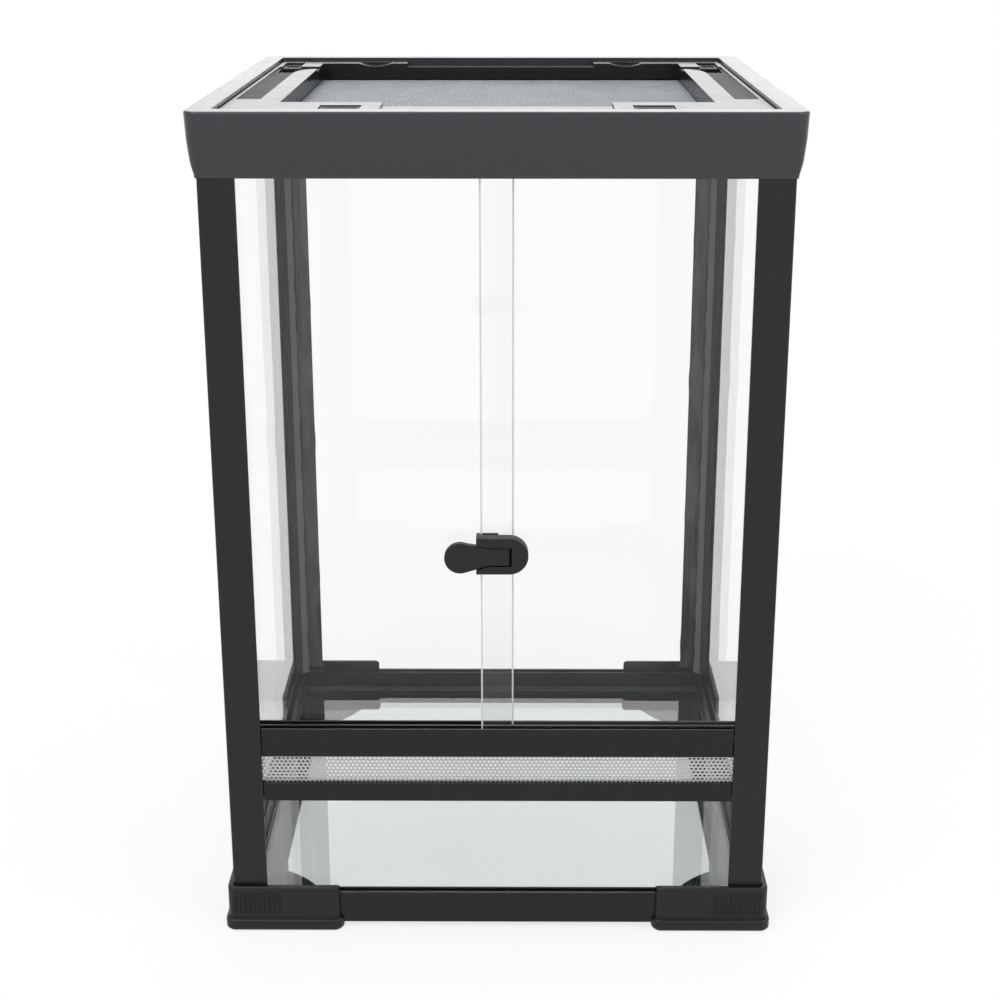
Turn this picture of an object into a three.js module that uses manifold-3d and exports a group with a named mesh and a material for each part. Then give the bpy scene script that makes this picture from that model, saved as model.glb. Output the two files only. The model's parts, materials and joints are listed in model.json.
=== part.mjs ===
// A framed glass terrarium cabinet with two sliding doors, a vent strip and a hinged, screened lid.
// Millimetres, +Z up. The origin is the middle of the footprint on the ground, and the front faces -Y.
import * as THREE from "three";
import { mergeVertices } from "three/addons/utils/BufferGeometryUtils.js";
import Module from "manifold-3d";

const wasm = await Module();
wasm.setup();

// ---------------------------------------------------------------- driving dimensions

const gap = 0.3; // between pieces that seat on each other
const nudge = 1; // how far a cutter runs past the face that it cuts

// The glass box
const glassWidth = 300; // outside of the side panes, along X
const glassDepth = 300; // outside of the front and rear panes, along Y
const totalHeight = 470;
const paneThick = 3;
const floorThick = 4;

// Corner posts
const postWall = 2.2;
const postFace = 19.5; // width of each leg, seen from outside
const edgeBreak = 0.8; // chamfer on the outer edges of posts and feet

// Base rails and feet
const railLift = 3.5; // underside of the rails above the ground
const railTop = 22.6;
const railBase = 4.2; // from the underside to the ledge
const railInnerWall = 1.2;
const ledgeReach = 23; // from the rail's outer face to the ledge's inner edge
const ledgeThick = 2.2;
const footHeight = 28;
const footWall = 3;
const footArm = 64.9; // along each side, from the corner
const footPlate = 3.2;
const footRound = 4;
const flangeHeight = 7.5;
const flangeProud = 1.8;
const gussetRadius = 59;
const fluteCount = 10;
const flutePitch = 2.76;
const fluteWidth = 1.3;
const fluteDepth = 0.6;
const fluteLow = 10;
const fluteHigh = 24.6;

// Front: low glass, vent rail, vent strip and door sill
const ventRailLow = 81.6;
const ventRailHigh = 92.6;
const ventRailDepth = 6;
const ventRailWeb = 1.4; // between the vent rail's two slots
const sillLow = 109.5;
const sillHigh = 126.4;
const sillNose = 5.3; // depth of the sill's lower front part
const sillRise = 7; // of the rear part's underside over the front part's
const frontSetBack = 1; // of the rails' faces behind the posts' faces
const grooveDeep = 4;
const stripThick = 1;
const ventPitch = 9.8;
const ventHole = 2.3; // radius
const ventRows = 3;

// Doors and their tracks
const doorThick = 3;
const doorOverlap = 18;
const channelPlay = 0.6; // of a door in its channel
const channelWall = 1.5;
const trackRib = 1.8; // between the two channels
const sillChannel = 7.5; // depth of the lower channels
const upperTrackDeep = 33; // of the upper track's underside under the rim's top
const upperChannel = 13.2; // deeper, so that a door lifts out of the sill
const doorRise = 5.5; // of a door's top into the upper channel

// Top frame
const rimOut = 7.5; // of the rim outside the glass
const rimSkirt = 34; // height of the skirt
const rimWeb = 2.7; // thickness of the flat top
const rimFlat = 12.8; // width of the flat top
const shelfReach = 19.5; // from the rim's outer edge to the shelf's inner edge
const shelfDeep = 15.8; // of the shelf's top under the rim's top
const shelfThick = 2.2;
const rimRound = 1.5; // of the skirt's corners at its lower edge
const rimSpread = 1.45; // growth of that radius as the skirt leans out
const rimWall = 2.5; // of the skirt's upper part
const rimShoulder = 14; // height of the skirt's thicker lower part

// Lid
const lidPlay = 0.5; // all round, in the well
const lidSink = 2.1; // of the lid's top under the rim's top
const lidPlate = 3;
const lidSkirt = 2;
const lidStep = 2.3; // how much lower the middle of the front and rear borders is
const lidStepSide = 55; // from the window's side edge to the lowered middle
const windowSide = 41.5; // from the rim's side edge to the window
const windowFront = 62; // from the rim's front edge to the window
const windowRear = 31; // from the rim's rear edge to the window
const windowWall = 1.8;
const screenSink = 12.6; // of the screen's top under the rim's top
const screenThick = 0.7;
const screenBorder = 5; // of the screen that the clamp's inner part covers
const netInset = 1; // of the net inside the window
const screenAcross = 12; // gaps along X
const screenAlong = 11; // gaps along Y
const screenWire = 2.6; // one broad strip stands in for several fine wires
const clampThick = 1.6;
const clampWide = 11;
const clampPlay = 0.7;
const lidRib = 1.8;
const fieldSink = 1.5; // of the lid's lower side fields under its top
const fieldAside = 12.4; // from the window's side edge to a side field
const fieldEdge = 2.6; // width of the lid's raised edge outside a field
const fieldStart = 14; // from the window's front edge
const fieldTurn = 64; // from the window's rear edge to the start of the bend
const fieldBend = 26.4; // length of the bend
const fieldRear = 22.5; // from the window's rear edge to a field's rear end
const scoopRadius = 30;
const scoopDeep = 2;
const scoopLong = 9;
const tabHalf = 8;
const tabAside = 16; // from the window's side edge to a tab's middle
const tabPlay = 0.4; // between a tab's end and the rear pane
const tabTop = 4.6; // under the lid's top
const tabThick = 2;

// Lid latches and port shutters
const latchAside = 34; // from the window's side edge to a latch's middle
const latchSlotWide = 21.5;
const latchSlotLong = 18.5;
const latchSlotFront = 29; // from the rim's front edge
const latchCapLong = 12;
const latchTongueHalf = 8;
const latchTongueThick = 3;
const latchCapSink = 0.6; // of a latch's cap under the lid's top
const guideWall = 2; // under the lid, round latches and shutters
const portWide = 9.2;
const portLong = 22;
const portRear = 16; // from the lid's rear edge to the port
const shutterSink = 3.4;
const shutterThick = 1.8;
const shutterLong = 26;
const shutterTravel = 24;
const shutterLap = 2; // of a shutter over its port's rear edge
const shutterSideLap = 2.6; // and over its outer edge

// Lock
const lockBodyRight = 17;
const lockHalfHigh = 10.3;
const lockMiddle = 232.4; // height above the ground
const lockWall = 2.2;
const lockLegThick = 1.3;
const lockLegReach = 10;
const lockLipProud = 4.8; // of the lips above and below the lever
const lockBend = 2;
const lockLegInset = 2; // of the rear leg over the plate's underside
const lockLegDown = 0.8; // of the rear leg under the plate's top
const leverRise = 4.4; // of the arm over the lock's middle
const leverFall = 5.6; // of the arm under the lock's middle
const leverTaper = 10; // from the pin to the start of the lever's taper
const leverThick = 4;
const leverPlay = 0.4; // round the lever between the lips
const padRadius = 8.6;
const padMiddle = -20; // along X
const padDrop = 1.4; // of the pad's middle under the lock's
const padShoulder = 20; // degrees from the pad's top or bottom to where the arm's edge leaves it
const pinRadius = 1.2;
const pinAlongX = 5.5;
const pinCover = 1.4; // of the lock's plastic over the pin's top

// Silicone beads in the corners
const beadLeg = 5;

// ---------------------------------------------------------------- derived places

const W = glassWidth / 2;
const D = glassDepth / 2;
const postOut = postWall + gap; // of a post's face outside the glass
const faceX = W + postOut;
const faceY = D + postOut;
const innerX = W - paneThick; // inner faces of the side panes
const innerY = D - paneThick;
const ledgeTop = railLift + railBase;
const glassLow = ledgeTop + gap;
const floorTop = glassLow + floorThick;
const railInside = postOut + paneThick + gap + railInnerWall; // from the rail's outer face
const rimX = W + rimOut;
const rimY = D + rimOut;
const shelfHigh = totalHeight - shelfDeep;
const shelfLow = shelfHigh - shelfThick;
const upperTrackLow = totalHeight - upperTrackDeep;
const webUnder = totalHeight - rimWeb;
const glassHigh = webUnder - gap;
const wellX = rimX - rimFlat;
const wellY = rimY - rimFlat;
const frontFace = -(faceY - frontSetBack);
const frontPlay = postFace - postOut; // of a post's edge inside the glass's outer face
const lipHalf = W - frontPlay - gap; // the front lips of rails end here, between the posts
const keyHalf = innerX - gap; // behind the posts they reach the side panes
const ventRailMiddle = (ventRailLow + ventRailHigh) / 2;
const stripLow = ventRailMiddle + gap + ventRailWeb; // floor of the vent rail's upper slot
const channelWidth = doorThick + channelPlay;
const trackDepth = 2 * channelWall + 2 * channelWidth + trackRib; // of both tracks, front to back
const doorFrontY = frontFace + channelWall + gap; // front face of the right door
const doorRearY = doorFrontY + channelWidth + trackRib;
const doorLow = sillHigh - sillChannel + gap;
const doorHigh = upperTrackLow + doorRise;
const doorWidth = keyHalf + doorOverlap / 2 - gap;
const lidTop = totalHeight - lidSink;
const lidX = wellX - lidPlay;
const lidY = wellY - lidPlay;
const lidLow = shelfHigh + gap;
const plateUnder = lidTop - lidPlate;
const tabLong = innerY - tabPlay - lidY;
const windowHalf = rimX - windowSide;
const windowLowY = -rimY + windowFront;
const windowHighY = rimY - windowRear;
const screenTop = totalHeight - screenSink;
const clampInside = screenBorder - windowWall - clampPlay; // of the clamp's inner edge inside the window
const ribInside = clampWide - clampInside + clampPlay; // from the window's edge to the rib
const fieldInside = windowHalf + fieldAside;
const latchSide = windowHalf - latchAside;
const tabSide = windowHalf - tabAside;
const lidStepHalf = windowHalf - lidStepSide;
const shutterFloor = lidTop - shutterSink;

// ---------------------------------------------------------------- solids

// A closed geometry as a solid that can be joined and cut.
function solid(geometry) {
  const bare = geometry.clone();
  bare.deleteAttribute("normal");
  bare.deleteAttribute("uv");
  const merged = mergeVertices(bare, 1e-4);
  return new wasm.Manifold(
    new wasm.Mesh({
      numProp: 3,
      vertProperties: new Float32Array(merged.attributes.position.array),
      triVerts: new Uint32Array(merged.index.array),
    }),
  );
}

// A solid back as a geometry with flat faces.
function geometryOf(body) {
  const mesh = body.getMesh();
  const geometry = new THREE.BufferGeometry();
  geometry.setAttribute("position", new THREE.BufferAttribute(mesh.vertProperties, 3));
  geometry.setIndex(new THREE.BufferAttribute(mesh.triVerts, 1));
  const flat = geometry.toNonIndexed();
  flat.computeVertexNormals();
  return flat;
}

function box(x0, x1, y0, y1, z0, z1) {
  const geometry = new THREE.BoxGeometry(x1 - x0, y1 - y0, z1 - z0);
  geometry.translate((x0 + x1) / 2, (y0 + y1) / 2, (z0 + z1) / 2);
  return solid(geometry);
}

// The same box on both sides of the middle.
function boxPair(x0, x1, y0, y1, z0, z1) {
  return box(x0, x1, y0, y1, z0, z1).add(box(-x1, -x0, y0, y1, z0, z1));
}

function cut(body, ...cutters) {
  return cutters.reduce((left, cutter) => left.subtract(cutter), body);
}

function join(body, ...others) {
  return others.reduce((sum, other) => sum.add(other), body);
}

function outline(points) {
  return new THREE.Shape(points.map(([x, y]) => new THREE.Vector2(x, y)));
}

// A shape pushed up from z0 to z1.
function prism(shape, z0, z1, curveSegments = 12) {
  const settings = { depth: z1 - z0, bevelEnabled: false, curveSegments };
  return solid(new THREE.ExtrudeGeometry(shape, settings).translate(0, 0, z0));
}

// A profile of [y, z] points run along X.
function barAlongX(profile, x0, x1) {
  const settings = { depth: x1 - x0, bevelEnabled: false };
  const geometry = new THREE.ExtrudeGeometry(outline(profile), settings);
  const toX = new THREE.Matrix4().makeBasis(
    new THREE.Vector3(0, 1, 0),
    new THREE.Vector3(0, 0, 1),
    new THREE.Vector3(1, 0, 0),
  );
  return solid(geometry.applyMatrix4(toX).translate(x0, 0, 0));
}

// A shape in the X-Z plane run along Y.
function barAlongY(shape, y0, y1, curveSegments = 12) {
  const settings = { depth: y1 - y0, bevelEnabled: false, curveSegments };
  const geometry = new THREE.ExtrudeGeometry(shape, settings);
  return solid(geometry.rotateX(Math.PI / 2).translate(0, y1, 0));
}

function roundedRectangle(x0, x1, y0, y1, radius) {
  const shape = new THREE.Shape();
  shape.moveTo(x1, y0 + radius);
  shape.lineTo(x1, y1 - radius);
  shape.absarc(x1 - radius, y1 - radius, radius, 0, Math.PI / 2);
  shape.lineTo(x0 + radius, y1);
  shape.absarc(x0 + radius, y1 - radius, radius, Math.PI / 2, Math.PI);
  shape.lineTo(x0, y0 + radius);
  shape.absarc(x0 + radius, y0 + radius, radius, Math.PI, 1.5 * Math.PI);
  shape.lineTo(x1 - radius, y0);
  shape.absarc(x1 - radius, y0 + radius, radius, 1.5 * Math.PI, 2 * Math.PI);
  return shape;
}

// A body through rounded rectangles, one for each level of { z, x, y, r }, from the lowest up.
function loft(levels) {
  const rings = levels.map(({ z, x, y, r }) => {
    const points = roundedRectangle(-x, x, -y, y, r).extractPoints(6).shape;
    return points.map((p) => new THREE.Vector3(p.x, p.y, z));
  });
  const count = rings[0].length;
  const faces = THREE.ShapeUtils.triangulateShape(rings[0].map((p) => new THREE.Vector2(p.x, p.y)), []);
  const index = faces.flatMap(([a, b, c]) => [a, c, b]);
  const last = (rings.length - 1) * count;
  index.push(...faces.flatMap(([a, b, c]) => [last + a, last + b, last + c]));
  for (let level = 0; level < rings.length - 1; level += 1) {
    for (let i = 0; i < count; i += 1) {
      const a = level * count + i;
      const b = level * count + ((i + 1) % count);
      index.push(a, b, b + count, a, b + count, a + count);
    }
  }
  const geometry = new THREE.BufferGeometry().setFromPoints(rings.flat());
  geometry.setIndex(index);
  return solid(geometry);
}

// A rounded block with its middle on the Z axis.
function block(x, y, z0, z1, r) {
  return loft([{ z: z0, x, y, r }, { z: z1, x, y, r }]);
}

// An upright round bar.
function rod(x, y, z0, z1, radius, sides = 16) {
  const geometry = new THREE.CylinderGeometry(radius, radius, z1 - z0, sides);
  return solid(geometry.rotateX(Math.PI / 2).translate(x, y, (z0 + z1) / 2));
}

// ---------------------------------------------------------------- base

// A rail whose ends are mitred. Its profile holds [distance in from the outer face, height] points,
// and it runs along X with its outer face at +reach along Y.
function mitredRail(profile, half, reach) {
  const count = profile.length;
  const end = (side) =>
    profile.map(([inwards, z]) => new THREE.Vector3(side * (half - inwards - gap / 2), reach - inwards, z));
  const index = [];
  const faces = THREE.ShapeUtils.triangulateShape(profile.map(([a, b]) => new THREE.Vector2(a, b)), []);
  faces.forEach(([a, b, c]) => {
    index.push(a, b, c);
    index.push(count + a, count + c, count + b);
  });
  for (let i = 0; i < count; i += 1) {
    const next = (i + 1) % count;
    index.push(i, count + next, next, i, count + i, count + next);
  }
  const geometry = new THREE.BufferGeometry().setFromPoints([...end(-1), ...end(1)]);
  geometry.setIndex(index);
  return geometryOf(solid(geometry));
}

function baseRailProfile() {
  const slotOut = postOut - gap; // the outer wall's inner face
  const slotIn = postOut + paneThick + gap;
  return [
    [0, railLift],
    [railInside, railLift],
    [railInside, ledgeTop - ledgeThick],
    [ledgeReach, ledgeTop - ledgeThick],
    [ledgeReach, ledgeTop],
    [railInside, ledgeTop],
    [railInside, railTop],
    [slotIn, railTop],
    [slotIn, ledgeTop],
    [slotOut, ledgeTop],
    [slotOut, railTop],
    [0, railTop],
  ];
}

// A foot for the +X +Y corner. Its own origin is the corner of the glass.
function footBody() {
  const inside = postOut + gap; // inner face of the wall
  const outside = inside + footWall;
  const inner = outside - footArm;
  const half = footArm / 2;
  const middle = outside - half;
  const place = (body) => body.translate([middle, middle, 0]);
  const wall = place(
    loft([
      { z: 0, x: half, y: half, r: footRound },
      { z: footHeight - edgeBreak, x: half, y: half, r: footRound },
      { z: footHeight, x: half - edgeBreak, y: half - edgeBreak, r: footRound - edgeBreak },
    ]),
  );
  const wide = half + flangeProud;
  const flange = place(
    loft([
      { z: 0, x: wide - 1.6, y: wide - 1.6, r: footRound },
      { z: 1.6, x: wide, y: wide, r: footRound + flangeProud },
      { z: flangeHeight - 1, x: wide, y: wide, r: footRound + flangeProud },
      { z: flangeHeight, x: wide - 0.7, y: wide - 0.7, r: footRound + 1 },
    ]),
  );
  const hollow = box(inner - 10, inside, inner - 10, inside, footPlate, footHeight + nudge);
  const outer = cut(join(wall, flange), hollow);
  // Outside the two arms the plate is only the quarter round.
  const arm = inner + footArm - footWall - ledgeReach - gap; // inner edge of the arms
  const plan = new THREE.Shape();
  plan.moveTo(outside, outside);
  plan.lineTo(outside - gussetRadius, outside);
  plan.absarc(outside, outside, gussetRadius, Math.PI, 1.5 * Math.PI);
  const quarter = prism(plan, -nudge, footHeight, 10);
  const open = box(inner - 10, arm, inner - 10, arm, -nudge, footHeight + nudge);
  const trimmed = cut(outer, cut(open, quarter));
  const padEdge = postOut - ledgeReach - gap;
  const padRoom = box(inner - 10, padEdge, inner - 10, padEdge, footPlate - gap, ledgeTop - gap);
  const flutes = [];
  for (let i = 0; i < fluteCount; i += 1) {
    const along = outside - footRound - 1 - i * flutePitch;
    const a = along - fluteWidth / 2;
    const b = along + fluteWidth / 2;
    const deep = outside - fluteDepth;
    flutes.push(box(a, b, deep, outside + nudge, fluteLow, fluteHigh));
    flutes.push(box(deep, outside + nudge, a, b, fluteLow, fluteHigh));
  }
  return geometryOf(cut(join(trimmed, quarter.intersect(padRoom)), ...flutes));
}

// A post for the +X +Y corner, with its own origin at the corner of the glass.
function postBody() {
  const low = railTop + gap;
  const leg = postOut - postFace;
  const shape = outline([
    [leg, gap],
    [gap, gap],
    [gap, leg],
    [postOut, leg],
    [postOut, postOut - edgeBreak],
    [postOut - edgeBreak, postOut],
    [leg, postOut],
  ]);
  return geometryOf(prism(shape, low, glassHigh));
}

// ---------------------------------------------------------------- front rails and tracks

// Only the part of a front bar that stands between the posts keeps its front lip.
function keyed(body, low, high) {
  return cut(body, boxPair(lipHalf, innerX, frontFace - nudge, -D, low - nudge, high + nudge));
}

// A bar for a front rail, with its profile as [depth behind the face, height] points.
function frontBar(profile) {
  return barAlongX(profile.map(([inwards, z]) => [frontFace + inwards, z]), -keyHalf, keyHalf);
}

function ventRailBody() {
  const rail = frontBar([
    [0, ventRailLow],
    [ventRailDepth, ventRailLow],
    [ventRailDepth, ventRailHigh],
    [0, ventRailHigh],
  ]);
  const glassSlot = box(-W, W, -D - gap, -innerY + gap, ventRailLow - nudge, ventRailMiddle + gap);
  const [stripFront, stripRear] = stripFaces();
  const stripSlot = box(-W, W, stripFront - gap, stripRear + gap, stripLow, ventRailHigh + nudge);
  return geometryOf(keyed(cut(rail, glassSlot, stripSlot), ventRailLow, ventRailHigh));
}

// Front and rear face of the vent strip: it stands in the middle of the pane's thickness.
function stripFaces() {
  const front = -D + (paneThick - stripThick) / 2;
  return [front, front + stripThick];
}

function channelCuts(z0, z1) {
  const front = frontFace + channelWall;
  const rear = front + channelWidth + trackRib;
  return [
    box(-W, W, front, front + channelWidth, z0, z1),
    box(-W, W, rear, rear + channelWidth, z0, z1),
  ];
}

function sillBody() {
  const bar = frontBar([
    [0, sillLow],
    [sillNose, sillLow],
    [sillNose, sillLow + sillRise],
    [trackDepth, sillLow + sillRise],
    [trackDepth, sillHigh],
    [0, sillHigh],
  ]);
  const [stripFront, stripRear] = stripFaces();
  const slot = box(-W, W, stripFront - gap, stripRear + gap, sillLow - nudge, sillLow + grooveDeep);
  const channels = channelCuts(sillHigh - sillChannel, sillHigh + nudge);
  return geometryOf(keyed(cut(bar, slot, ...channels), sillLow, sillHigh));
}

function upperTrackBody() {
  const top = shelfLow - gap;
  const bar = frontBar([
    [0, upperTrackLow],
    [trackDepth, upperTrackLow],
    [trackDepth, top],
    [0, top],
  ]);
  const channels = channelCuts(upperTrackLow - nudge, upperTrackLow + upperChannel);
  return geometryOf(keyed(cut(bar, ...channels), upperTrackLow, top));
}

// The perforated strip, with staggered rows of six-sided holes where it shows.
function ventStripBody() {
  const low = stripLow + gap;
  const high = sillLow + grooveDeep - gap;
  const shape = outline([
    [-keyHalf, low],
    [keyHalf, low],
    [keyHalf, high],
    [-keyHalf, high],
  ]);
  const rowPitch = (sillLow - ventRailHigh) / ventRows;
  const across = Math.floor((2 * lipHalf - 2 * ventHole) / ventPitch);
  for (let row = 0; row < ventRows; row += 1) {
    const z = ventRailHigh + rowPitch * (row + 0.5);
    const shift = row % 2 ? 0.5 : 0;
    for (let i = 0; i < across; i += 1) {
      const x = (i + 0.25 + shift - across / 2) * ventPitch;
      const corners = [0, 1, 2, 3, 4, 5].map((k) => {
        const angle = (-k * Math.PI) / 3;
        return new THREE.Vector2(x + ventHole * Math.cos(angle), z + ventHole * Math.sin(angle));
      });
      shape.holes.push(new THREE.Path(corners));
    }
  }
  const [front, rear] = stripFaces();
  return geometryOf(barAlongY(shape, front, rear));
}

// ---------------------------------------------------------------- top frame

function topFrameBody() {
  const low = totalHeight - rimSkirt;
  const lip = postOut + 2 * gap + 0.2; // the skirt's lower edge, outside the glass
  const round = (out) => rimRound + rimSpread * (out - lip);
  const level = (z, out) => ({ z, x: W + out, y: D + out, r: round(out) });
  // The skirt leans in a little on its way down and turns in over its last part.
  const outer = loft([
    level(low, lip),
    level(low + 1.9, lip + 0.2),
    level(low + 3.6, lip + 0.8),
    level(low + 6.3, lip + 1.6),
    level(low + 9, rimOut - 2),
    level(low + 14.6, rimOut - 1.3),
    level(low + 20, rimOut - 0.7),
    level(totalHeight - 0.7, rimOut),
    level(totalHeight, rimOut - 0.7),
  ]);
  const clear = postOut + gap; // inside of the skirt's lower part
  const roomy = rimOut - rimWall; // and of its upper part
  const shoulder = low + rimShoulder;
  const wallX = innerX - gap;
  const wallY = innerY - gap;
  const lower = block(W + clear, D + clear, low - nudge, shoulder, 1);
  const upper = block(W + roomy, D + roomy, shoulder - nudge, webUnder, round(roomy));
  const core = block(wallX, wallY, shelfLow, totalHeight + nudge, 1);
  const shelfX = rimX - shelfReach;
  const shelfY = rimY - shelfReach;
  const well = block(wellX, wellY, shelfHigh, totalHeight + nudge, 2);
  const mouth = block(shelfX, shelfY, shelfLow - nudge, shelfHigh + nudge, 2);
  const tabRoom = tabSide - tabHalf - gap;
  const tabWide = tabSide + tabHalf + gap;
  const sweep = Math.hypot(tabLong, tabTop + tabThick) + gap; // of a tab about the lid's rear edge
  const tabs = boxPair(tabRoom, tabWide, lidY, wallY + nudge, lidTop - sweep, lidTop - tabTop + gap);
  const tongue = latchTongueHalf + 2 * gap;
  const slots = boxPair(
    latchSide - tongue,
    latchSide + tongue,
    -wallY - nudge,
    -lidY,
    plateUnder - 2 * gap - latchTongueThick - gap,
    plateUnder + gap,
  );
  return geometryOf(cut(outer, lower, cut(upper, core), well, mouth, tabs, slots));
}

// ---------------------------------------------------------------- lid

// A band of ground plan round the window, from one distance outside its edge to another.
function windowBand(from, to, z0, z1) {
  const rectangle = (out, low, high) =>
    box(-windowHalf - out, windowHalf + out, windowLowY - out, windowHighY + out, low, high);
  return cut(rectangle(to, z0, z1), rectangle(from, z0 - nudge, z1 + nudge));
}

// The lower side field of the lid's top on the +X side. Its inner edge bends in to the window.
function lidField() {
  const start = windowLowY + fieldStart;
  const turn = windowHighY - fieldTurn;
  const rear = windowHighY - fieldRear;
  const outside = lidX - fieldEdge;
  const shape = new THREE.Shape();
  shape.moveTo(fieldInside, start);
  shape.lineTo(outside, start);
  shape.lineTo(outside, rear);
  shape.lineTo(windowHalf - nudge, rear);
  shape.lineTo(windowHalf - nudge, turn + fieldBend);
  shape.lineTo(windowHalf, turn + fieldBend);
  shape.absellipse(windowHalf, turn, fieldAside, fieldBend, Math.PI / 2, 0, true, 0);
  return prism(shape, lidTop - fieldSink, lidTop + nudge, 10);
}

// Ground plan of a cable port and its shutter's recess on the +X side.
function portPlan() {
  const outer = rimX - shelfReach - gap; // clear of the shelf below
  const rear = lidY - portRear;
  return {
    x0: outer - portWide,
    x1: outer,
    y0: rear - portLong,
    y1: rear,
    recess: outer + shutterSideLap,
    recessRear: rear + shutterLap + gap,
    recessFront: rear + shutterLap - shutterLong - shutterTravel - 2 * gap,
  };
}

function latchPlan() {
  const front = -rimY + latchSlotFront;
  return {
    front,
    rear: front + latchSlotLong,
    x0: latchSide - latchSlotWide / 2,
    x1: latchSide + latchSlotWide / 2,
    tongueTop: plateUnder - gap,
    tongueLow: plateUnder - gap - latchTongueThick,
  };
}

// The window's opening between two heights.
function inWindow(low, high) {
  return box(-windowHalf, windowHalf, windowLowY, windowHighY, low, high);
}

// The lid's top plate, skirt, window wall and the rib round the screen's clamp.
function lidShell() {
  const body = loft([
    { z: lidLow, x: lidX, y: lidY, r: 1.6 },
    { z: lidTop - 0.5, x: lidX, y: lidY, r: 1.6 },
    { z: lidTop, x: lidX - 0.5, y: lidY - 0.5, r: 1.2 },
  ]);
  const under = block(lidX - lidSkirt, lidY - lidSkirt, lidLow - nudge, plateUnder, 1);
  const middle = join(
    windowBand(-nudge, ribInside + lidRib, lidLow - 2, plateUnder + nudge),
    inWindow(lidLow - 2, plateUnder + nudge),
  );
  const channel = windowBand(windowWall, ribInside, lidLow - nudge, plateUnder);
  const seat = windowBand(-nudge, windowWall + nudge, lidLow - nudge, screenTop + gap);
  return cut(body, cut(under, middle), channel, seat, inWindow(lidLow - nudge, lidTop + nudge));
}

// A box across the middle of the front or the rear border, from the window to short of the lid's edge.
function borderBox(side, half, past, z0, z1) {
  const window = side < 0 ? windowLowY : windowHighY;
  const ends = [window - side * past, side * (lidY + past)].sort((a, b) => a - b);
  return box(-half, half, ends[0], ends[1], z0, z1);
}

function latchGuide(latch) {
  const half = latchTongueHalf + gap;
  const bridge = boxPair(
    latchSide - half - guideWall,
    latchSide + half + guideWall,
    -lidY + lidSkirt / 2,
    latch.front - 0.5,
    latch.tongueLow - gap - guideWall,
    plateUnder + 0.5,
  );
  const tongueRoom = boxPair(
    latchSide - half,
    latchSide + half,
    -lidY - nudge,
    latch.front,
    latch.tongueLow - gap,
    plateUnder,
  );
  const hole = boxPair(latch.x0, latch.x1, latch.front, latch.rear, plateUnder - nudge, lidTop + nudge);
  return { bridge, room: join(tongueRoom, hole) };
}

// The trough that a shutter slides in, and the port through its floor.
function portTrough(port) {
  const floor = shutterFloor - guideWall;
  const trough = boxPair(
    port.x0 - guideWall,
    lidX - lidSkirt / 2,
    port.recessFront - guideWall,
    port.recessRear + guideWall,
    floor,
    plateUnder + nudge,
  );
  const recess = boxPair(
    port.x0 - gap,
    port.recess,
    port.recessFront,
    port.recessRear,
    shutterFloor,
    lidTop + nudge,
  );
  const hole = boxPair(port.x0, port.x1, port.y0, port.y1, floor - nudge, lidTop + nudge);
  return { trough, room: join(recess, hole) };
}

// A shallow dip for a fingertip in the window's rear edge.
function fingerScoop(x) {
  const round = new THREE.Shape();
  round.absarc(0, lidTop + scoopRadius - scoopDeep, scoopRadius, 0, 2 * Math.PI);
  return barAlongY(round, windowHighY - nudge, windowHighY + scoopLong, 24).translate([x, 0, 0]);
}

function lidFrameBody() {
  const latch = latchGuide(latchPlan());
  const port = portTrough(portPlan());
  const tabs = boxPair(
    tabSide - tabHalf,
    tabSide + tabHalf,
    lidY - lidSkirt / 2,
    lidY + tabLong,
    lidTop - tabTop - tabThick,
    lidTop - tabTop,
  );
  // Under its lowered middle the plate keeps its thickness.
  const backs = [-1, 1].map((side) =>
    borderBox(side, lidStepHalf + lidPlate, -0.5, plateUnder - lidStep, lidTop - lidStep / 2),
  );
  const steps = [-1, 1].map((side) =>
    borderBox(side, lidStepHalf, nudge, lidTop - lidStep, lidTop + nudge),
  );
  const field = lidField();
  const whole = join(lidShell(), ...backs, port.trough, latch.bridge, tabs);
  const cutters = [...steps, port.room, latch.room, field, field.mirror([1, 0, 0])];
  return geometryOf(cut(whole, ...cutters, fingerScoop(latchSide), fingerScoop(-latchSide)));
}

// The lines that bound the screen's wires along one direction, from the border's outer edge.
function netLines(outer, inner, count) {
  const pitch = (inner[1] - inner[0]) / count;
  const half = screenWire / 2;
  const lines = [outer[0]];
  for (let i = 0; i < count; i += 1) {
    lines.push(inner[0] + i * pitch + half, inner[0] + (i + 1) * pitch - half);
  }
  return [...lines, outer[1]];
}

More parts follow.
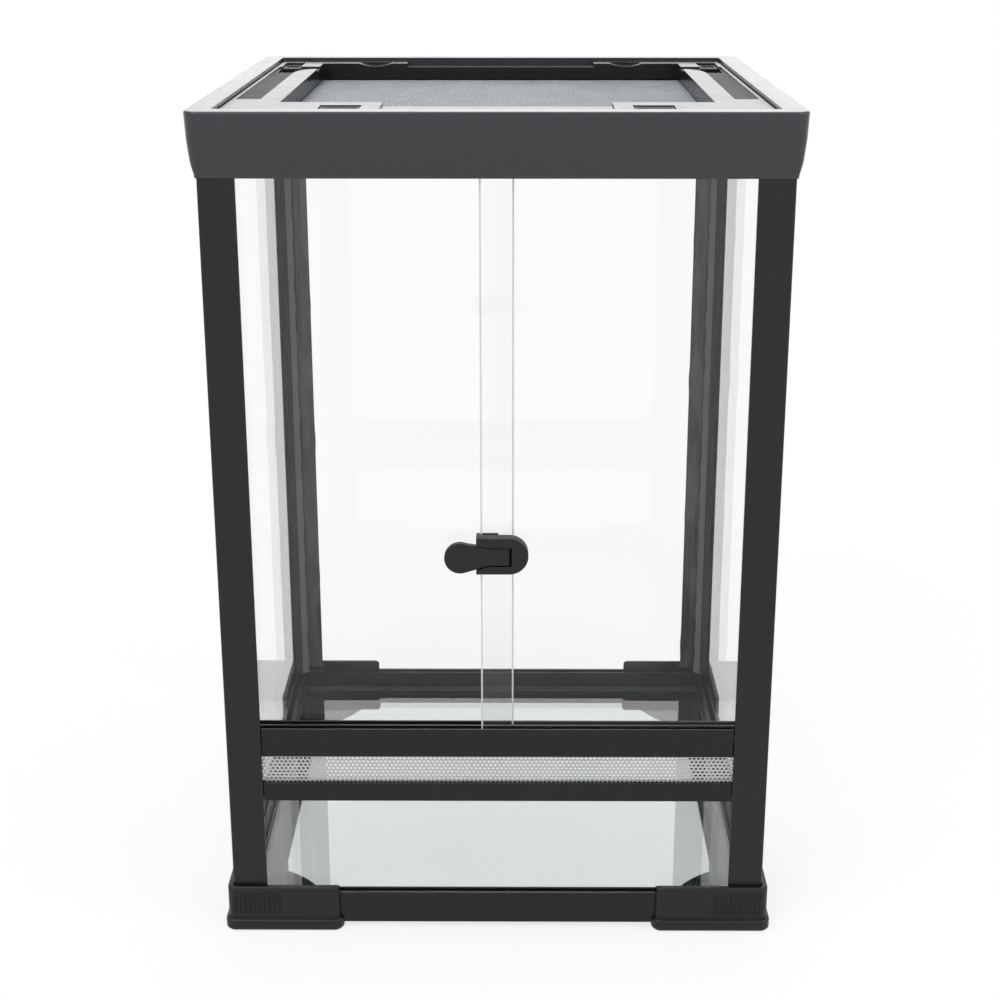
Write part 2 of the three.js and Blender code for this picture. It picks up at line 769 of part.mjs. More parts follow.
// The screen as a flat net inside a plain border. Every second cell both ways is a gap.
function screenBody() {
  const out = ribInside - 2 * gap;
  const netX = windowHalf - netInset;
  const xs = netLines([-windowHalf - out, windowHalf + out], [-netX, netX], screenAcross);
  const yEnds = [windowLowY - out, windowHighY + out];
  const ys = netLines(yEnds, [windowLowY + netInset, windowHighY - netInset], screenAlong);
  const levels = [screenTop - screenThick, screenTop];
  const points = levels.flatMap((z) => ys.flatMap((y) => xs.map((x) => new THREE.Vector3(x, y, z))));
  const at = (i, j, level) => (level * ys.length + j) * xs.length + i;
  const inside = (i, j) => i >= 0 && j >= 0 && i < xs.length - 1 && j < ys.length - 1;
  const filled = (i, j) => inside(i, j) && !(i % 2 && j % 2);
  const index = [];
  const quad = (a, b, c, d) => index.push(a, b, c, a, c, d);
  for (let j = 0; j < ys.length - 1; j += 1) {
    for (let i = 0; i < xs.length - 1; i += 1) {
      if (!filled(i, j)) continue;
      // The cell's corners, anticlockwise from above, and the neighbour across each of its sides.
      const around = [
        [i, j],
        [i + 1, j],
        [i + 1, j + 1],
        [i, j + 1],
      ];
      const beyond = [filled(i, j - 1), filled(i + 1, j), filled(i, j + 1), filled(i - 1, j)];
      const low = around.map(([a, b]) => at(a, b, 0));
      const high = around.map(([a, b]) => at(a, b, 1));
      quad(...high);
      quad(low[3], low[2], low[1], low[0]);
      beyond.forEach((neighbour, k) => {
        const next = (k + 1) % 4;
        if (!neighbour) quad(low[k], low[next], high[next], high[k]);
      });
    }
  }
  return new THREE.BufferGeometry().setFromPoints(points).setIndex(index);
}

function clampBody() {
  const top = screenTop - screenThick - gap;
  return geometryOf(windowBand(-clampInside, clampWide - clampInside, top - clampThick, top));
}

// A latch for the +X side: a ribbed cap in the slot over a tongue that slides under the plate.
function latchBody() {
  const plan = latchPlan();
  const capRear = plan.rear - gap;
  const capFront = capRear - latchCapLong;
  const capTop = lidTop - latchCapSink;
  const tongue = box(
    latchSide - latchTongueHalf,
    latchSide + latchTongueHalf,
    -lidY + gap,
    capRear,
    plan.tongueLow,
    plan.tongueTop,
  );
  const cap = box(plan.x0 + gap, plan.x1 - gap, capFront, capRear, plan.tongueTop - 0.5, capTop);
  const grips = [0.25, 0.5, 0.75].map((share) => {
    const y = capFront + share * latchCapLong;
    return box(plan.x0 + 2, plan.x1 - 2, y - 0.6, y + 0.6, capTop - 0.7, capTop + nudge);
  });
  return geometryOf(cut(join(tongue, cap), ...grips));
}

function shutterBody() {
  const port = portPlan();
  const rear = port.recessRear - gap;
  const low = shutterFloor + gap;
  const plate = box(port.x0, port.recess - gap, rear - shutterLong, rear, low, low + shutterThick);
  const middle = rear - shutterLong / 2;
  const ribs = [-3, 0, 3].map((shift) => {
    const y = middle + shift;
    return box(port.x0 + 2, port.recess - 2, y - 0.5, y + 0.5, low + 1, low + shutterThick + 0.7);
  });
  return geometryOf(join(plate, ...ribs));
}

// ---------------------------------------------------------------- lock

// The clip's outline: square at the door's edge and round at the far end.
function clipShape(left) {
  const shape = new THREE.Shape();
  const centre = lockBodyRight - lockHalfHigh;
  shape.moveTo(left, -lockHalfHigh);
  shape.lineTo(centre, -lockHalfHigh);
  shape.absarc(centre, 0, lockHalfHigh, -Math.PI / 2, Math.PI / 2);
  shape.lineTo(left, lockHalfHigh);
  return shape;
}

// The lever's outline in X and Z: a round pad whose arm narrows towards the pin. It grows by a play
// all round, and its end past the pin is at the given X.
function leverShape(end, play) {
  const shape = new THREE.Shape();
  const reach = padRadius + play;
  const shoulder = THREE.MathUtils.degToRad(padShoulder);
  const taperX = pinAlongX - leverTaper;
  shape.moveTo(end, -leverFall - play);
  shape.lineTo(end, leverRise + play);
  shape.lineTo(taperX, leverRise + play);
  shape.lineTo(padMiddle + reach * Math.sin(shoulder), -padDrop + reach * Math.cos(shoulder));
  shape.absarc(padMiddle, -padDrop, reach, Math.PI / 2 - shoulder, 1.5 * Math.PI + shoulder);
  shape.lineTo(taperX, -leverFall - play);
  return shape;
}

function lockBodyBody() {
  const edge = -doorOverlap / 2; // left edge of the right door
  const left = edge - gap - lockBend;
  const backY = doorFrontY - gap; // of the front plate
  const frontY = backY - lockWall;
  const legFront = doorFrontY + doorThick + gap;
  const top = lockMiddle + lockHalfHigh;
  const low = lockMiddle - lockHalfHigh;
  const slab = (y0, y1) => barAlongY(clipShape(left), y0, y1, 8).translate([0, 0, lockMiddle]);
  const plate = slab(frontY, backY);
  const thick = slab(frontY - lockLipProud, frontY + 0.5);
  const pocketEnd = pinAlongX + leverThick / 2 + leverPlay;
  const pocket = barAlongY(leverShape(pocketEnd, leverPlay), frontY - lockLipProud - nudge, frontY, 14);
  const legRear = legFront + lockLegThick;
  const legLow = low + lockLegInset;
  const legTop = top - lockLegDown;
  const bend = box(left, left + lockBend, backY - 0.5, legRear, legLow, legTop);
  const leg = box(left, left + lockBend + lockLegReach, legFront, legRear, legLow, legTop);
  const bore = rod(pinAlongX, pinY(), low - nudge, top - pinCover, pinRadius + gap);
  return geometryOf(cut(join(plate, cut(thick, pocket.translate([0, 0, lockMiddle])), bend, leg), bore));
}

function pinY() {
  return doorFrontY - gap - lockWall - gap - leverThick / 2;
}

function lockLeverBody() {
  const y1 = doorFrontY - gap - lockWall - gap;
  const y0 = y1 - leverThick;
  const low = lockMiddle - leverFall;
  const high = lockMiddle + leverRise;
  const lever = barAlongY(leverShape(pinAlongX, 0), y0, y1, 14).translate([0, 0, lockMiddle]);
  const barrel = rod(pinAlongX, pinY(), low, high, leverThick / 2, 20);
  const bore = rod(pinAlongX, pinY(), low - nudge, high + nudge, pinRadius + gap);
  return geometryOf(cut(join(lever, barrel), bore));
}

function lockPinBody() {
  const low = lockMiddle - lockHalfHigh + gap;
  const high = lockMiddle + lockHalfHigh - pinCover - gap;
  return geometryOf(rod(pinAlongX, pinY(), low, high, pinRadius));
}

// ---------------------------------------------------------------- panes and beads

function pane(x0, x1, y0, y1, z0, z1) {
  const geometry = new THREE.BoxGeometry(x1 - x0, y1 - y0, z1 - z0);
  return geometry.translate((x0 + x1) / 2, (y0 + y1) / 2, (z0 + z1) / 2);
}

// A three-sided bead for the +X +Y inner corner.
function beadBody(low, high) {
  const x = innerX - gap;
  const y = innerY - gap;
  const shape = outline([
    [x, y],
    [x - beadLeg, y],
    [x, y - beadLeg],
  ]);
  return geometryOf(prism(shape, low, high));
}

// ---------------------------------------------------------------- materials

const blackPlastic = new THREE.MeshStandardMaterial({ color: 0x323234, roughness: 0.38, metalness: 0 });
const rimPlastic = new THREE.MeshStandardMaterial({ color: 0x3b3b40, roughness: 0.3, metalness: 0 });
const lockPlastic = new THREE.MeshStandardMaterial({ color: 0x2a2a2e, roughness: 0.5, metalness: 0 });
const clearGlass = new THREE.MeshStandardMaterial({
  color: 0xdfe9e5,
  roughness: 0.03,
  metalness: 0,
  transparent: true,
  opacity: 0.25,
});
const aluminium = new THREE.MeshStandardMaterial({ color: 0xc5ccc8, roughness: 0.4, metalness: 1 });
const steelWire = new THREE.MeshStandardMaterial({ color: 0x8f9698, roughness: 0.5, metalness: 0.8 });
const steelPin = new THREE.MeshStandardMaterial({ color: 0xb0b3b6, roughness: 0.3, metalness: 1 });
const silicone = new THREE.MeshStandardMaterial({ color: 0x4a4d4c, roughness: 0.5, metalness: 0 });

// ---------------------------------------------------------------- the cabinet

function piece(name, geometry, material) {
  const mesh = new THREE.Mesh(geometry, material);
  mesh.name = name;
  return mesh;
}

function group(...members) {
  return new THREE.Group().add(...members);
}

const corners = [
  { name: "front_left", x: -1, y: -1 },
  { name: "front_right", x: 1, y: -1 },
  { name: "rear_left", x: -1, y: 1 },
  { name: "rear_right", x: 1, y: 1 },
];

// One copy of a piece at each corner of the glass, mirrored to suit.
function atCorners(prefix, geometry, material) {
  return corners.map(({ name, x, y }) => {
    const mesh = piece(`${prefix}_${name}`, geometry, material);
    mesh.position.set(x * W, y * D, 0);
    mesh.scale.set(x, y, 1);
    return mesh;
  });
}

// A piece made for the right side, and its mirror image on the left.
function sidePair(prefix, geometry, material) {
  const right = piece(`${prefix}_right`, geometry, material);
  const left = piece(`${prefix}_left`, geometry, material);
  left.scale.x = -1;
  return [left, right];
}

function baseRails() {
  const profile = baseRailProfile();
  const long = mitredRail(profile, faceX, faceY);
  const side = mitredRail(profile, faceY, faceX);
  const rear = piece("base_rail_rear", long, blackPlastic);
  const front = piece("base_rail_front", long, blackPlastic);
  front.rotation.z = Math.PI;
  const left = piece("base_rail_left", side, blackPlastic);
  left.rotation.z = Math.PI / 2;
  const right = piece("base_rail_right", side, blackPlastic);
  right.rotation.z = -Math.PI / 2;
  return [front, rear, left, right];
}

function fixedGlass() {
  const floorX = faceX - railInside - gap;
  const floorY = faceY - railInside - gap;
  return [
    ...sidePair("side_glass", pane(innerX, W, -D, D, glassLow, glassHigh), clearGlass),
    piece("rear_glass", pane(-keyHalf, keyHalf, innerY, D, glassLow, glassHigh), clearGlass),
    piece("floor_glass", pane(-floorX, floorX, -floorY, floorY, glassLow, floorTop), clearGlass),
    piece("front_glass_lower", pane(-keyHalf, keyHalf, -D, -innerY, glassLow, ventRailMiddle), clearGlass),
  ];
}

function doors() {
  const middle = (doorLow + doorHigh) / 2;
  const geometry = new THREE.BoxGeometry(doorWidth, doorThick, doorHigh - doorLow);
  const offset = (doorWidth - doorOverlap) / 2;
  const left = piece("door_left", geometry, clearGlass);
  left.position.set(-offset, doorRearY + doorThick / 2, middle);
  const right = piece("door_right", geometry, clearGlass);
  right.position.set(offset, doorFrontY + doorThick / 2, middle);
  return [left, right];
}

function beads() {
  const low = railTop + gap;
  const rear = sidePair("seal_rear", beadBody(low, shelfLow - gap), silicone);
  const front = sidePair("seal_front", beadBody(low, ventRailLow - gap), silicone);
  const turned = group(...front);
  turned.scale.y = -1;
  return [...rear, turned];
}

const base = group(...atCorners("foot", footBody(), blackPlastic), ...baseRails());
const walls = group(...atCorners("post", postBody(), blackPlastic), ...fixedGlass(), ...beads());
const front = group(
  piece("vent_rail", ventRailBody(), blackPlastic),
  piece("vent_strip", ventStripBody(), aluminium),
  piece("door_sill", sillBody(), blackPlastic),
  piece("upper_track", upperTrackBody(), blackPlastic),
);
const lock = group(
  piece("lock_body", lockBodyBody(), lockPlastic),
  piece("lock_lever", lockLeverBody(), lockPlastic),
  piece("lock_pin", lockPinBody(), steelPin),
);
const lid = group(
  piece("lid_frame", lidFrameBody(), rimPlastic),
  piece("lid_screen", screenBody(), steelWire),
  piece("screen_clamp", clampBody(), blackPlastic),
  ...sidePair("lid_latch", latchBody(), lockPlastic),
  ...sidePair("port_shutter", shutterBody(), blackPlastic),
);

const cabinet = group(
  base,
  walls,
  front,
  group(...doors(), lock),
  piece("top_frame", topFrameBody(), rimPlastic),
  lid,
);

export default cabinet;
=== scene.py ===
"""Looks for a framed glass terrarium cabinet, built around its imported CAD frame."""

import json
import math

import bmesh
import bpy
from mathutils import Matrix, Vector


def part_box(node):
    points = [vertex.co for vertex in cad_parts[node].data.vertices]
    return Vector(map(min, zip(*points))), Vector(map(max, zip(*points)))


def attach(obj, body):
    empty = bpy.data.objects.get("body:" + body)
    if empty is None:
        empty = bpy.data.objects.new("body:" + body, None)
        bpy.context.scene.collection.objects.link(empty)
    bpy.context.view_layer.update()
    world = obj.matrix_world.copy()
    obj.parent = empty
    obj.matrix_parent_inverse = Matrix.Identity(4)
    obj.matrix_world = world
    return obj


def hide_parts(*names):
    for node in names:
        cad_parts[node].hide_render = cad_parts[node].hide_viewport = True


bl_info = {
    "name": "Glass terrarium cabinet",
    "version": (1, 0, 0),
    "blender": (4, 5, 0),
    "location": "3D View > Sidebar > Cabinet",
    "description": "Finishes each piece of a framed glass terrarium cabinet",
    "category": "Object",
}

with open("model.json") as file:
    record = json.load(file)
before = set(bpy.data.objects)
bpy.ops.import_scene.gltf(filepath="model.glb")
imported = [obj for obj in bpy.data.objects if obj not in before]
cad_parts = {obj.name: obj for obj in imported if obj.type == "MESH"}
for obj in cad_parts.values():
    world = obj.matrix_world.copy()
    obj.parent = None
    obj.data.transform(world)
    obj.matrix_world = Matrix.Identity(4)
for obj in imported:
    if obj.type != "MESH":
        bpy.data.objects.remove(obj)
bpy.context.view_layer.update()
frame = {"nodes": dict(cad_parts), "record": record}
NODES = frame["nodes"]
BODY_OF = {
    node: body for body, nodes in frame["record"]["behaviour"]["bodies"].items() for node in nodes
}
SLOT_OF = {part["node"]: part["material_slot"] for part in frame["record"]["subparts"]}
CORNERS = {
    "front_left": (-1, -1),
    "front_right": (1, -1),
    "rear_left": (-1, 1),
    "rear_right": (1, 1),
}


# ---------------------------------------------------------------- sizes and colours


def length(name, description, default, soft_max=0.01):
    """A distance that the user can change."""
    return bpy.props.FloatProperty(
        name=name,
        description=description,
        default=default,
        min=0.0,
        soft_max=soft_max,
        precision=5,
        subtype="DISTANCE",
        unit="LENGTH",
    )


def colour(name, description, default):
    """A colour that the user can change, given as the display shows it."""
    linear = [c / 12.92 if c <= 0.04045 else ((c + 0.055) / 1.055) ** 2.4 for c in default]
    return bpy.props.FloatVectorProperty(
        name=name,
        description=description,
        default=linear,
        min=0.0,
        max=1.0,
        size=3,
        subtype="COLOR",
    )


class CabinetSizes(bpy.types.PropertyGroup):
    """Sizes of details that the CAD frame leaves to the finish."""

    post_edge: length("Post edge", "Rounding on the corner posts", 0.0004)
    rail_edge: length("Rail edge", "Rounding on the rails and tracks", 0.00024)
    rim_edge: length("Rim edge", "Rounding on the top frame and the lid", 0.00036)
    small_edge: length("Small edge", "Rounding on the feet, the lock's body and the clamp", 0.0003)
    slide_edge: length("Slide edge", "Rounding on the latches and shutters", 0.00024)
    lever_edge: length("Lever edge", "Rounding on the lock's lever", 0.00048)
    pin_edge: length("Pin edge", "Rounding on the lock's pin", 0.00018)
    mitre_gap: length("Mitre gap", "Half of the joint between two lengths of the rim", 0.00005)
    arris: length("Arris", "Ground chamfer along the edges of the fixed panes", 0.0004)
    door_arris: length("Door arris", "Ground chamfer along the edges of the doors", 0.0009)
    vent_hole: length("Vent hole", "Radius of the punched holes", 0.0009)
    vent_pitch: length("Vent pitch", "Distance between holes along a row", 0.00245)
    wire: length("Wire", "Radius of the screen's wires", 0.00016)
    mesh_pitch: length("Mesh pitch", "Distance between the screen's wires", 0.0014)
    bead: length("Bead", "Leg of the silicone beads", 0.0045)
    glue_wave: length("Glue wave", "How far the glue behind the posts wanders", 0.0007)


class CabinetColours(bpy.types.PropertyGroup):
    """Colours of the finishes."""

    rim: colour("Rim", "Top frame", (0.15, 0.149, 0.168))
    post: colour("Post", "Corner posts", (0.087, 0.086, 0.088))
    rail: colour("Rail", "Rails and tracks", (0.055, 0.053, 0.064))
    foot: colour("Foot", "Corner feet", (0.038, 0.036, 0.049))
    lid: colour("Lid", "Lid and screen clamp", (0.085, 0.085, 0.093))
    lid_field: colour("Lid field", "Sparked side fields of the lid", (0.05, 0.052, 0.06))
    lock: colour("Lock", "Lock, latches and shutters", (0.055, 0.055, 0.064))
    glass: colour("Glass", "Tint of one face of a pane", (0.9952, 0.9961, 0.9958))
    # The floor pane's tint is partly the tint of a thicker pane, partly painted shade for the dim
    # floor under the cabinet.
    floor_glass_tint_and_shade: colour("Floor glass", "Tint of one face of the floor pane", (0.912, 0.924, 0.921))
    door_edge: colour("Door edge", "Ground edges of the doors", (0.82, 0.83, 0.828))
    glass_edge: colour("Glass edge", "Ground edges of the fixed panes", (0.3, 0.325, 0.32))
    aluminium: colour("Aluminium", "Perforated strip", (0.72, 0.725, 0.725))
    wire: colour("Wire", "Lid screen", (0.57, 0.585, 0.6))
    steel: colour("Steel", "Pin of the lock", (0.69, 0.7, 0.71))
    silicone: colour("Silicone", "Beads in the corners", (0.36, 0.37, 0.37))
    glue: colour("Glue", "Adhesive behind the posts", (0.27, 0.275, 0.275))


# ---------------------------------------------------------------- materials


class Value:
    """A socket that Python's operators can work on."""

    def __init__(self, paint, socket):
        self.paint = paint
        self.socket = socket

    def __add__(self, other):
        return self.paint.maths("ADD", self, other)

    def __sub__(self, other):
        return self.paint.maths("SUBTRACT", self, other)

    def __mul__(self, other):
        return self.paint.maths("MULTIPLY", self, other)

    def __pow__(self, other):
        return self.paint.maths("POWER", self, other)

    __radd__ = __add__


class Paint:
    """The nodes of a material, or of the world, in the making."""

    def __init__(self, owner):
        self.owner = owner
        self.owner.use_nodes = True
        self.tree = owner.node_tree
        self.tree.nodes.clear()
        self.place = self.node("ShaderNodeTexCoord", out="Object")

    def node(self, kind, settings=None, inputs=None, out=0):
        """Adds a node, sets it up, fills its sockets and returns one of its outputs."""
        made = self.tree.nodes.new(kind)
        for key, setting in (settings or {}).items():
            if key == "stops":
                self.fill_ramp(made.color_ramp, setting)
            else:
                setattr(made, key, setting)
        for key, given in (inputs or {}).items():
            if isinstance(given, Value):
                self.tree.links.new(given.socket, made.inputs[key])
            else:
                made.inputs[key].default_value = given
        return Value(self, made.outputs[out]) if len(made.outputs) else None

    @staticmethod
    def fill_ramp(ramp, stops):
        while len(ramp.elements) < len(stops):
            ramp.elements.new(1.0)
        for element, (position, grey) in zip(ramp.elements, stops, strict=True):
            element.position = position
            element.color = (grey, grey, grey, 1)

    def maths(self, operation, *operands):
        return self.node("ShaderNodeMath", {"operation": operation}, dict(enumerate(operands)))

    def limited(self, low, high, value):
        """The value between two limits."""
        return self.maths("MINIMUM", self.maths("MAXIMUM", value, low), high)

    def stretched(self, x, y, z):
        """Object coordinates with a scale along each axis."""
        return self.node("ShaderNodeMapping", inputs={"Vector": self.place, "Scale": (x, y, z)})

    def noise(self, scale, detail=2.0, vector=None, roughness=0.5):
        inputs = {"Scale": scale, "Detail": detail, "Roughness": roughness}
        inputs["Vector"] = vector or self.place
        return self.node("ShaderNodeTexNoise", inputs=inputs)

    def ramp(self, value, *stops):
        return self.node("ShaderNodeValToRGB", {"stops": stops}, {0: value})

    def mixed(self, share, first, second):
        """Two colours mixed."""
        inputs = {0: share}
        for socket, tone in ((6, first), (7, second)):
            inputs[socket] = tone if isinstance(tone, Value) else (*tone[:3], 1)
        return self.node("ShaderNodeMix", {"data_type": "RGBA"}, inputs, out=2)

    def bump(self, height, strength, distance):
        inputs = {"Height": height, "Strength": strength, "Distance": distance}
        return self.node("ShaderNodeBump", inputs=inputs)

    def attribute(self, name):
        return self.node("ShaderNodeAttribute", {"attribute_name": name}, out="Fac")

    def shader(self, **inputs):
        """A Principled shader; its sockets are given with _ for spaces."""
        named = {key.replace("_", " "): given for key, given in inputs.items()}
        for key, given in named.items():
            if key.endswith(("Color", "Tint")) and not isinstance(given, Value):
                named[key] = (*given[:3], 1)
        return self.node("ShaderNodeBsdfPrincipled", inputs=named)

    def done(self, surface):
        self.node("ShaderNodeOutputMaterial", inputs={"Surface": surface})
        return self.owner


def shade(base, factor):
    """A colour made lighter or darker."""
    return tuple(min(1.0, c * factor) for c in base)


def moulded_plastic(name, base, roughness, grain, coat=0.0, level=0.35):
    """Injection moulded plastic: fine sparked grain, faint flow marks and edges rubbed lighter."""
    paint = Paint(bpy.data.materials.new(name))
    fine = paint.noise(2600.0, 3.0)
    flow = paint.noise(6.0, 2.0)
    rubbed = paint.ramp(paint.noise(55.0, 5.0, roughness=0.6), (0.5, 0.0), (0.9, 1.0))
    edge = paint.attribute("edge")
    patches = paint.ramp(paint.noise(160.0, 4.0), (0.35, 0.3), (0.75, 1.0))
    worn = paint.limited(0.0, 1.0, edge * patches)
    tone = paint.mixed(flow, shade(base, 0.93), shade(base, 1.08))
    tone = paint.mixed(fine * 0.25, tone, shade(base, 1.25))
    tone = paint.mixed(worn * 0.35, tone, shade(base, 3.0))
    rough = roughness + flow * 0.04 - 0.02 + rubbed * 0.06 + worn * 0.08
    surface = paint.shader(
        Base_Color=tone,
        Roughness=paint.limited(0.03, 1.0, rough),
        Normal=paint.bump(fine, grain, 0.00003),
        Specular_IOR_Level=level,
        Coat_Weight=coat,
        Coat_Roughness=0.06,
    )
    return paint.done(surface)


def extruded_plastic(name, base, roughness, along):
    """Extruded plastic: fine die lines along its length, over a satin ground."""
    paint = Paint(bpy.data.materials.new(name))
    scale = [900.0, 900.0, 900.0]
    scale["XYZ".index(along)] = 4.0
    lines = paint.noise(1.0, 4.0, paint.stretched(*scale))
    flow = paint.noise(5.0, 2.0)
    edge = paint.attribute("edge")
    worn = edge * paint.ramp(paint.noise(120.0, 4.0), (0.4, 0.2), (0.75, 1.0))
    tone = paint.mixed(lines, shade(base, 0.85), shade(base, 1.15))
    tone = paint.mixed(flow * 0.4, tone, shade(base, 1.12))
    tone = paint.mixed(paint.limited(0.0, 1.0, worn) * 0.3, tone, shade(base, 3.0))
    rough = roughness + lines * 0.1 - 0.05 + flow * 0.04
    surface = paint.shader(
        Base_Color=tone,
        Roughness=paint.limited(0.05, 1.0, rough),
        Normal=paint.bump(lines, 0.2, 0.00005),
        Specular_IOR_Level=0.3,
    )
    return paint.done(surface)


def clear_glass(name, tint, least):
    """One face of a pane: it tints what passes, and mirrors a least share, or more at a slant."""
    paint = Paint(bpy.data.materials.new(name))
    smear = paint.noise(11.0, 5.0, paint.stretched(1.0, 1.0, 0.45), 0.6)
    film = paint.ramp(smear, (0.5, 0.0), (0.85, 1.0))
    slant = paint.node("ShaderNodeLayerWeight", inputs={"Blend": 0.5}, out="Facing")
    share = paint.limited(0.0, 0.26, least + slant**5.0 + film * 0.006)
    through = paint.node("ShaderNodeBsdfTransparent", inputs={"Color": (*tint, 1)})
    mirror = paint.node("ShaderNodeBsdfGlossy", inputs={"Color": (1, 1, 1, 1), "Roughness": 0.0})
    return paint.done(paint.node("ShaderNodeMixShader", inputs={0: share, 1: through, 2: mirror}))


def ground_edge(name, base, solid_share):
    """The ground edge of a pane: frosted, with fine cross scratches."""
    paint = Paint(bpy.data.materials.new(name))
    scratches = paint.noise(1.0, 3.0, paint.stretched(2500.0, 2500.0, 700.0))
    cloud = paint.noise(40.0, 3.0)
    tone = paint.mixed(cloud, shade(base, 0.85), shade(base, 1.12))
    tone = paint.mixed(scratches * 0.3, tone, shade(base, 1.35))
    rough = 0.24 + scratches * 0.2
    solid = paint.shader(
        Base_Color=tone,
        Roughness=rough,
        Normal=paint.bump(scratches, 0.25, 0.00004),
        IOR=1.5,
    )
    through = paint.node("ShaderNodeBsdfTransparent", inputs={"Color": (*shade(base, 1.3), 1)})
    inputs = {0: solid_share, 1: through, 2: solid}
    return paint.done(paint.node("ShaderNodeMixShader", inputs=inputs))


def rolled_aluminium(name, base):
    """Mill finish sheet: rolling lines and a light tarnish."""
    paint = Paint(bpy.data.materials.new(name))
    lines = paint.noise(1.0, 5.0, paint.stretched(14.0, 700.0, 1700.0))
    tarnish = paint.noise(45.0, 4.0)
    tone = paint.mixed(lines, shade(base, 0.86), shade(base, 1.1))
    tone = paint.mixed(paint.ramp(tarnish, (0.45, 0.0), (0.8, 1.0)) * 0.3, tone, shade(base, 0.7))
    rough = 0.3 + lines * 0.16 + tarnish * 0.08
    surface = paint.shader(
        Base_Color=tone,
        Roughness=rough,
        Metallic=0.6,
        Normal=paint.bump(lines, 0.2, 0.00004),
    )
    return paint.done(surface)


def drawn_steel(name, base, roughness, spots):
    """Drawn wire or rod: bright, with a fine dulling that changes along it."""
    paint = Paint(bpy.data.materials.new(name))
    dull = paint.noise(spots, 4.0)
    fine = paint.noise(4000.0, 2.0)
    tone = paint.mixed(dull, shade(base, 0.72), shade(base, 1.2))
    surface = paint.shader(
        Base_Color=tone,
        Roughness=roughness + dull * 0.25,
        Metallic=0.8,
        Normal=paint.bump(fine, 0.15, 0.00003),
    )
    return paint.done(surface)


def silicone(name, base):
    """Cured sealant, smoothed with a finger: soft gloss, cloudy and slightly lumpy."""
    paint = Paint(bpy.data.materials.new(name))
    lumps = paint.noise(70.0, 3.0, paint.stretched(1.0, 1.0, 0.35))
    cloud = paint.noise(300.0, 3.0)
    tone = paint.mixed(lumps, shade(base, 0.75), shade(base, 1.3))
    surface = paint.shader(
        Base_Color=tone,
        Roughness=0.28 + cloud * 0.2,
        Normal=paint.bump(lumps, 0.5, 0.0004),
        IOR=1.41,
    )
    return paint.done(surface)


def spread_glue(name, base):
    """Adhesive pressed between glass and post: upright dark streaks and rounded pale voids."""
    paint = Paint(bpy.data.materials.new(name))
    streaks = paint.noise(1.0, 4.0, paint.stretched(520.0, 520.0, 9.0), 0.7)
    spots = paint.noise(1.0, 2.0, paint.stretched(95.0, 95.0, 22.0), 0.4)
    voids = paint.ramp(spots, (0.5, 0.0), (0.56, 1.0))
    tone = paint.mixed(paint.ramp(streaks, (0.34, 0.0), (0.66, 1.0)), shade(base, 0.15), base)
    tone = paint.mixed(voids * 0.55, tone, shade(base, 1.7))
    surface = paint.shader(
        Base_Color=tone,
        Roughness=0.35 + voids * 0.2,
        Normal=paint.bump(streaks, 0.3, 0.0001),
        IOR=1.45,
    )
    return paint.done(surface)


MATERIALS = {}  # the finishes made so far, by name


def material(name):
    """A finish by name, made when it is first asked for."""
    if name not in MATERIALS:
        c = bpy.context.scene.cabinet_colours
        makers = {
            "rim_gloss": lambda: moulded_plastic(name, c.rim, 0.22, 0.08, coat=0.1, level=0.45),
            "foot_satin": lambda: moulded_plastic(name, c.foot, 0.38, 0.2),
            "lid_gloss": lambda: moulded_plastic(name, c.lid, 0.2, 0.06, level=0.26),
            "lid_sparked": lambda: moulded_plastic(name, c.lid_field, 0.5, 0.5, level=0.2),
            "lock_grain": lambda: moulded_plastic(name, c.lock, 0.46, 0.4),
            "rail_x": lambda: extruded_plastic(name, c.rail, 0.34, "X"),
            "rail_y": lambda: extruded_plastic(name, c.rail, 0.34, "Y"),
            "post_satin": lambda: extruded_plastic(name, c.post, 0.34, "Z"),
            "glass_face": lambda: clear_glass(name, tuple(c.glass), least=0.015),
            # the floor pane's darker tint is partly painted shade under the cabinet
            "floor_face": lambda: clear_glass(name, tuple(c.floor_glass_tint_and_shade), least=0.06),
            "door_edge": lambda: ground_edge(name, c.door_edge, solid_share=0.7),
            "glass_edge": lambda: ground_edge(name, c.glass_edge, solid_share=0.85),
            "aluminium": lambda: rolled_aluminium(name, c.aluminium),
            "screen_wire": lambda: drawn_steel(name, c.wire, 0.3, spots=60.0),
            "pin_steel": lambda: drawn_steel(name, c.steel, 0.2, spots=500.0),
            "silicone": lambda: silicone(name, c.silicone),
            "glue": lambda: spread_glue(name, c.glue),
        }
        MATERIALS[name] = makers[name]()
    return MATERIALS[name]


# ---------------------------------------------------------------- mesh helpers


def form_of(node):
    """A CAD node's mesh as a merged form."""
    form = bmesh.new()
    form.from_mesh(NODES[node].data)
    bmesh.ops.remove_doubles(form, verts=form.verts, dist=1e-6)
    return form


def soften(form, width, segments=2):
    """Rounds the sharp edges and marks the new faces as edges."""
    mark = form.faces.layers.float.new("edge_face")
    least_turn = math.radians(24)
    sharp = [edge for edge in form.edges if edge.calc_face_angle(0.0) > least_turn]
    made = bmesh.ops.bevel(
        form,
        geom=sharp,
        offset=width,
        offset_type="OFFSET",
        segments=segments,
        profile=0.5,
        affect="EDGES",
        material=-1,
        clamp_overlap=False,
        loop_slide=False,
    )
    for face in made["faces"]:
        face[mark] = 1.0


